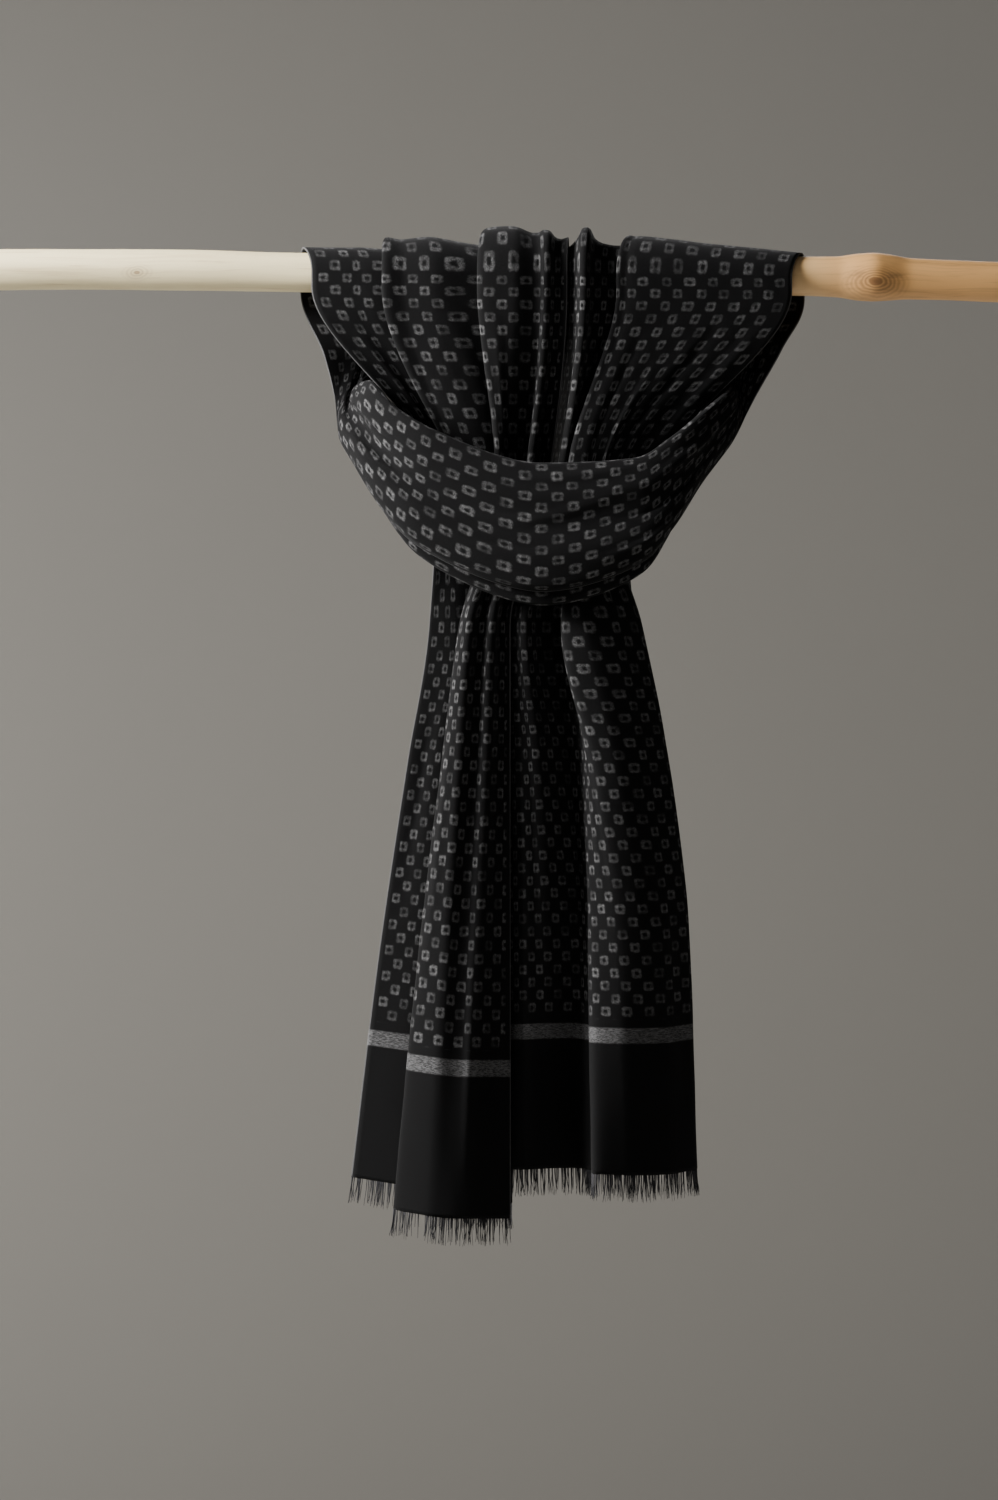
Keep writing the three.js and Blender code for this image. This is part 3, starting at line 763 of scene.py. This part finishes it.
def stage_material(name, colour):
    """Plain matt paint for the floor and the backdrop, with a very faint mottle."""
    nodes = Nodes(name)
    mottle = nodes.times(nodes.noise(nodes.object_place(), 1.3, 3.0), 0.25)
    darker = [0.82 * c for c in colour[:3]] + [1]
    nodes.feed(nodes.shader.inputs["Base Color"], nodes.mix(mottle, colour, darker))
    nodes.set_shader(Roughness=0.9)
    return nodes.material


class ScarfSizes(bpy.types.PropertyGroup):
    wall: bpy.props.FloatProperty(
        name="Wall",
        description="Thickness of the cloth",
        default=0.0011,
        min=0.0006,
        max=0.003,
        unit="LENGTH",
    )
    fringe_length: bpy.props.FloatProperty(
        name="Fringe length", description="Length of the loose warp threads", default=0.018, unit="LENGTH"
    )
    strands: bpy.props.IntProperty(
        name="Strands", description="Loose threads at each end", default=420, min=50, max=900
    )
    floor_drop: bpy.props.FloatProperty(
        name="Floor", description="Height of the floor below the rod", default=1.75, unit="LENGTH"
    )


def colour_property(name, description, default):
    return bpy.props.FloatVectorProperty(
        name=name, description=description, default=default, size=4, min=0, max=1, subtype="COLOR"
    )


class ScarfColours(bpy.types.PropertyGroup):
    ground: colour_property("Ground", "Dark ground of the cloth", (0.0016, 0.0016, 0.0018, 1))
    nap: colour_property("Nap", "Paler fibres of the ground", (0.0095, 0.0097, 0.0105, 1))
    # The squares' colour also paints the highlight along the selvages and the pale fringe strands
    square: colour_property("Squares", "Small woven squares", (0.17, 0.17, 0.175, 1))
    stripe: colour_property("Stripe", "Heather stripe near each end", (0.15, 0.15, 0.155, 1))
    wood_pale: colour_property("Pale wood", "Left of the rod", (0.93, 0.81, 0.5, 1))
    wood_tan: colour_property("Tan wood", "Right of the rod", (0.72, 0.39, 0.14, 1))
    wood_grain: colour_property("Grain", "Grain of the rod", (0.4, 0.22, 0.085, 1))
    wood_knot: colour_property("Knot", "Rings of the knots", (0.22, 0.1, 0.035, 1))
    floor: colour_property("Floor", "Pale floor", (0.62, 0.6, 0.56, 1))
    backdrop: colour_property("Backdrop", "Plain wall behind", (0.275, 0.265, 0.245, 1))


class SCARF_OT_legs(bpy.types.Operator):
    """Two front legs over the rod with their long tails, down to the stripe and the hem"""

    bl_idname = "scarf.legs"
    bl_label = "Legs and tails"

    def execute(self, context):
        sizes = context.scene.scarf_sizes
        for side, folds, facing in (("left", LEFT_FOLDS, -1), ("right", RIGHT_FOLDS, 1)):
            across = columns_across(columns(folds, FOLD_COLUMNS)["s"], flat_steps=8, turn_steps=6)
            along = np.concatenate([np.linspace(0, FRONT_T, 40)[:-1], np.linspace(FRONT_T, CLOTH_END_T, 216)])
            points = creased(leg_surface(side, across, along), across, along, LEG_CREASES[side], facing)
            along_cloth = CLOTH_END_T - along if side == "left" else CLOTH_LENGTH - CLOTH_END_T + along
            replaced = (f"front_leg_{side}", f"tail_{side}")
            piece = cloth_piece(f"leg_and_tail_{side}", points, across, along_cloth, sizes.wall, replaced)
        return {"FINISHED"}


class SCARF_OT_loop(bpy.types.Operator):
    """Sling round the front and the two back legs that lead up to the rod"""

    bl_idname = "scarf.loop"
    bl_label = "Sling and back legs"

    def execute(self, context):
        across = columns_across(columns(SLING_FOLDS, SLING_COLUMNS)["s"], flat_steps=14, turn_steps=8)
        along = np.linspace(-SLING_END_T, SLING_END_T, 236)
        points = creased(loop_surface(across, along), across, along, LOOP_CREASES, -1)
        eased = along + LOOP_EASE * SLING_END_T / np.pi * np.sin(np.pi * along / SLING_END_T)
        along_cloth = CLOTH_END_T + SLING_END_T + eased
        wall = context.scene.scarf_sizes.wall
        replaced = ("sling", "back_leg_left", "back_leg_right")
        piece = cloth_piece("sling_and_back_legs", points, across, along_cloth, wall, replaced)
        return {"FINISHED"}


class SCARF_OT_fringe(bpy.types.Operator):
    """Loose warp threads in small clusters below each hem"""

    bl_idname = "scarf.fringe"
    bl_label = "Fringe"

    def execute(self, context):
        sizes = context.scene.scarf_sizes
        for side in ("left", "right"):
            self.strands(side, sizes.strands, sizes.fringe_length * 1000)
        return {"FINISHED"}

    def strands(self, side, count, length):
        """Each strand is a tapered tube whose line falls from the hem and leans to its cluster."""
        random = np.random.default_rng(STRAND_SEEDS[side])
        roots = np.sort(random.uniform(0.6, CLOTH_WIDTH - 0.6, count))
        lean = (np.round(roots / CLUSTER) * CLUSTER - roots) * random.uniform(0.2, 0.9, count)
        ends = leg_surface(side, roots, np.array([CLOTH_END_T - 1.5, CLOTH_END_T - 0.5]))
        start = ends[1]
        fall = ends[1] - ends[0]
        fall /= np.linalg.norm(fall, axis=1, keepdims=True)
        beside = leg_surface(side, np.minimum(roots + 0.5, CLOTH_WIDTH), np.array([CLOTH_END_T]))[0]
        beside -= leg_surface(side, np.maximum(roots - 0.5, 0), np.array([CLOTH_END_T]))[0]
        beside /= np.maximum(np.linalg.norm(beside, axis=1, keepdims=True), 1e-9)
        front = np.cross(beside, fall)
        reach = length * random.uniform(0.78, 1.06, count) + 0.5
        share = np.linspace(0, 1, STRAND_RINGS)
        wander = random.normal(0, 0.55, (count, 2))
        curl = random.normal(0, 0.35, (count, 2))
        phase = random.uniform(0, 6.28, count)
        bend = share[None, :] ** 2
        ripple = np.sin(share[None, :] * 5 + phase[:, None]) * share[None, :]
        along = (share[None, :] * reach[:, None])[..., None] * fall[:, None, :]
        side_off = bend * (lean + wander[:, 0])[:, None] + ripple * curl[:, :1]
        front_off = bend * wander[:, 1:2] * 1.4 + ripple * curl[:, 1:]
        line = start[:, None, :] + along + side_off[..., None] * beside[:, None, :]
        line += front_off[..., None] * front[:, None, :]
        turn = np.arange(STRAND_SIDES) * 2 * np.pi / STRAND_SIDES
        thickness = random.uniform(0.75, 1.2, count)[:, None, None]
        radius = (STRAND_RADIUS - STRAND_TAPER * share)[None, :, None] * thickness
        ring = (
            np.cos(turn)[None, None, :, None] * beside[:, None, None, :]
            + np.sin(turn)[None, None, :, None] * front[:, None, None, :]
        )
        points = line[:, :, None, :] + radius[..., None] * ring
        index = np.arange(count * STRAND_RINGS * STRAND_SIDES).reshape(count, STRAND_RINGS, STRAND_SIDES)
        after = np.roll(index, -1, axis=2)
        corners = [index[:, :-1], index[:, 1:], after[:, 1:], after[:, :-1]]
        quads = np.stack(corners, axis=-1).reshape(-1, 4)
        caps = np.concatenate([index[:, 0, :], index[:, -1, ::-1]])
        faces = np.concatenate([quads, caps])
        mesh = bpy.data.meshes.new(f"fringe_threads_{side}")
        mesh.from_pydata((points.reshape(-1, 3) / 1000).tolist(), [], faces.tolist())
        mesh.polygons.foreach_set("use_smooth", np.ones(len(faces), bool))
        pale = random.random(count) < PALE_SHARE
        shade = np.where(pale, random.uniform(0.35, 1.0, count), random.uniform(0.0, 0.12, count))
        layer = mesh.attributes.new("shade", "FLOAT", "POINT")
        layer.data.foreach_set("value", np.repeat(shade, STRAND_RINGS * STRAND_SIDES).astype(np.float32))
        mesh.update()
        placed(f"fringe_threads_{side}", mesh, fringe_material(), (f"fringe_{side}",))


class SCARF_OT_rod(bpy.types.Operator):
    """Peeled wooden rod with a branch knot and plain sawn ends"""

    bl_idname = "scarf.rod"
    bl_label = "Wooden rod"

    def execute(self, context):
        rod = columns(ROD_TABLE, ROD_COLUMNS)
        length = np.linspace(rod["x"][0], rod["x"][-1], 420)
        turn = np.linspace(0, 2 * np.pi, 73)[:-1]
        height = spline(steady, rod["x"], rod["z"], length)
        radius = spline(steady, rod["x"], rod["radius"], length)
        x, angle = np.meshgrid(length, turn, indexing="ij")
        lumps = 0.35 * np.sin(x / 31 + 2 * np.sin(angle)) * np.cos(angle * 2 + x / 67)
        lumps += 0.16 * np.sin(angle * 5 + x / 43 + 2 * np.sin(x / 90))
        knot = KNOT_HEIGHT * np.exp(-(((x - KNOT_X) / KNOT_REACH) ** 2) - ((np.cos(angle) + 1) / 0.5) ** 2)
        inset = np.minimum(np.minimum(x - length[0], length[-1] - x) / ROD_BEVEL, 1)
        away = np.clip((length[-1] - np.abs(x)) / ROD_FADE, 0, 1)
        reach = radius[:, None] + lumps * away + knot - (1 - inset)
        points = np.stack([x, reach * np.cos(angle), height[:, None] + reach * np.sin(angle)], axis=-1)
        for end, at in ((0, length[0]), (-1, length[-1])):
            centre = np.array([at, 0, height[end]])
            shares = np.array([0.75, 0.5, 0.25, 0.05])[:, None, None]
            discs = centre + (points[end] - centre) * shares
            points = np.concatenate([discs[::-1], points]) if end == 0 else np.concatenate([points, discs])
        mesh = grid_mesh("wooden_rod", points / 1000, closed=True)
        close_ends(mesh, len(turn))
        placed("wooden_rod", mesh, wood_material(), ("rod",))
        return {"FINISHED"}


class SCARF_OT_stage(bpy.types.Operator):
    """Pale floor, plain wall, soft light from the left and the camera"""

    bl_idname = "scarf.stage"
    bl_label = "Studio"

    def execute(self, context):
        scene = context.scene
        colours = scene.scarf_colours
        drop = -scene.scarf_sizes.floor_drop
        rows = {
            "floor": ((-ROOM_HALF, drop), (WALL_Y, drop)),
            "backdrop": ((WALL_Y, drop), (WALL_Y, ROOM_TOP)),
        }
        for name, row in rows.items():
            points = np.array([[(x, y, z) for x in (-ROOM_HALF, ROOM_HALF)] for y, z in row], float)
            obj = bpy.data.objects.new(name, grid_mesh(name, points))
            scene.collection.objects.link(obj)
            obj.data.materials.append(stage_material(f"plain_{name}", getattr(colours, name)))
        for values in LAMPS:
            self.lamp(*values)
        world = bpy.data.worlds.new("studio")
        scene.world = world
        world.use_nodes = True
        background = world.node_tree.nodes["Background"]
        background.inputs["Color"].default_value = (0.97, 0.98, 1, 1)
        background.inputs["Strength"].default_value = AMBIENT
        data = bpy.data.cameras.new("view")
        data.sensor_fit = "VERTICAL"
        data.sensor_height = SENSOR_HEIGHT
        data.lens = SENSOR_HEIGHT * EYE_DISTANCE / VIEW_HEIGHT
        camera = bpy.data.objects.new("view", data)
        camera.location = CAMERA_PLACE
        camera.rotation_euler = (np.pi / 2, 0, 0)
        scene.collection.objects.link(camera)
        scene.camera = camera
        return {"FINISHED"}

    def lamp(self, name, place, aim, size, power):
        """A round soft lamp that the camera doesn't see."""
        data = bpy.data.lights.new(name, "AREA")
        data.shape = "DISK"
        data.size = size
        data.energy = power
        data.color = (1, 0.98, 0.95)
        obj = bpy.data.objects.new(name, data)
        obj.location = place
        obj.rotation_euler = (Vector(aim) - Vector(place)).to_track_quat("-Z", "Y").to_euler()
        obj.visible_camera = False
        bpy.context.scene.collection.objects.link(obj)


PIECES = (SCARF_OT_fringe, SCARF_OT_legs, SCARF_OT_loop, SCARF_OT_rod, SCARF_OT_stage)


class SCARF_PT_panel(bpy.types.Panel):
    """Pieces, sizes and colours of the scarf"""

    bl_label = "Scarf"
    bl_idname = "SCARF_PT_panel"
    bl_space_type = "VIEW_3D"
    bl_region_type = "UI"
    bl_category = "Scarf"

    def draw(self, context):
        for piece in PIECES:
            self.layout.operator(piece.bl_idname)
        for group in (context.scene.scarf_sizes, context.scene.scarf_colours):
            for name in group.__annotations__:
                self.layout.prop(group, name)


CLASSES = (ScarfSizes, ScarfColours, *PIECES, SCARF_PT_panel)


def register():
    for cls in CLASSES:
        bpy.utils.register_class(cls)
    bpy.types.Scene.scarf_sizes = bpy.props.PointerProperty(type=ScarfSizes)
    bpy.types.Scene.scarf_colours = bpy.props.PointerProperty(type=ScarfColours)


def unregister():
    del bpy.types.Scene.scarf_colours
    del bpy.types.Scene.scarf_sizes
    for cls in reversed(CLASSES):
        bpy.utils.unregister_class(cls)


def main():
    register()
    bpy.ops.scarf.fringe()
    bpy.ops.scarf.legs()
    bpy.ops.scarf.loop()
    bpy.ops.scarf.rod()
    bpy.ops.scarf.stage()


if __name__ == "__main__":
    main()
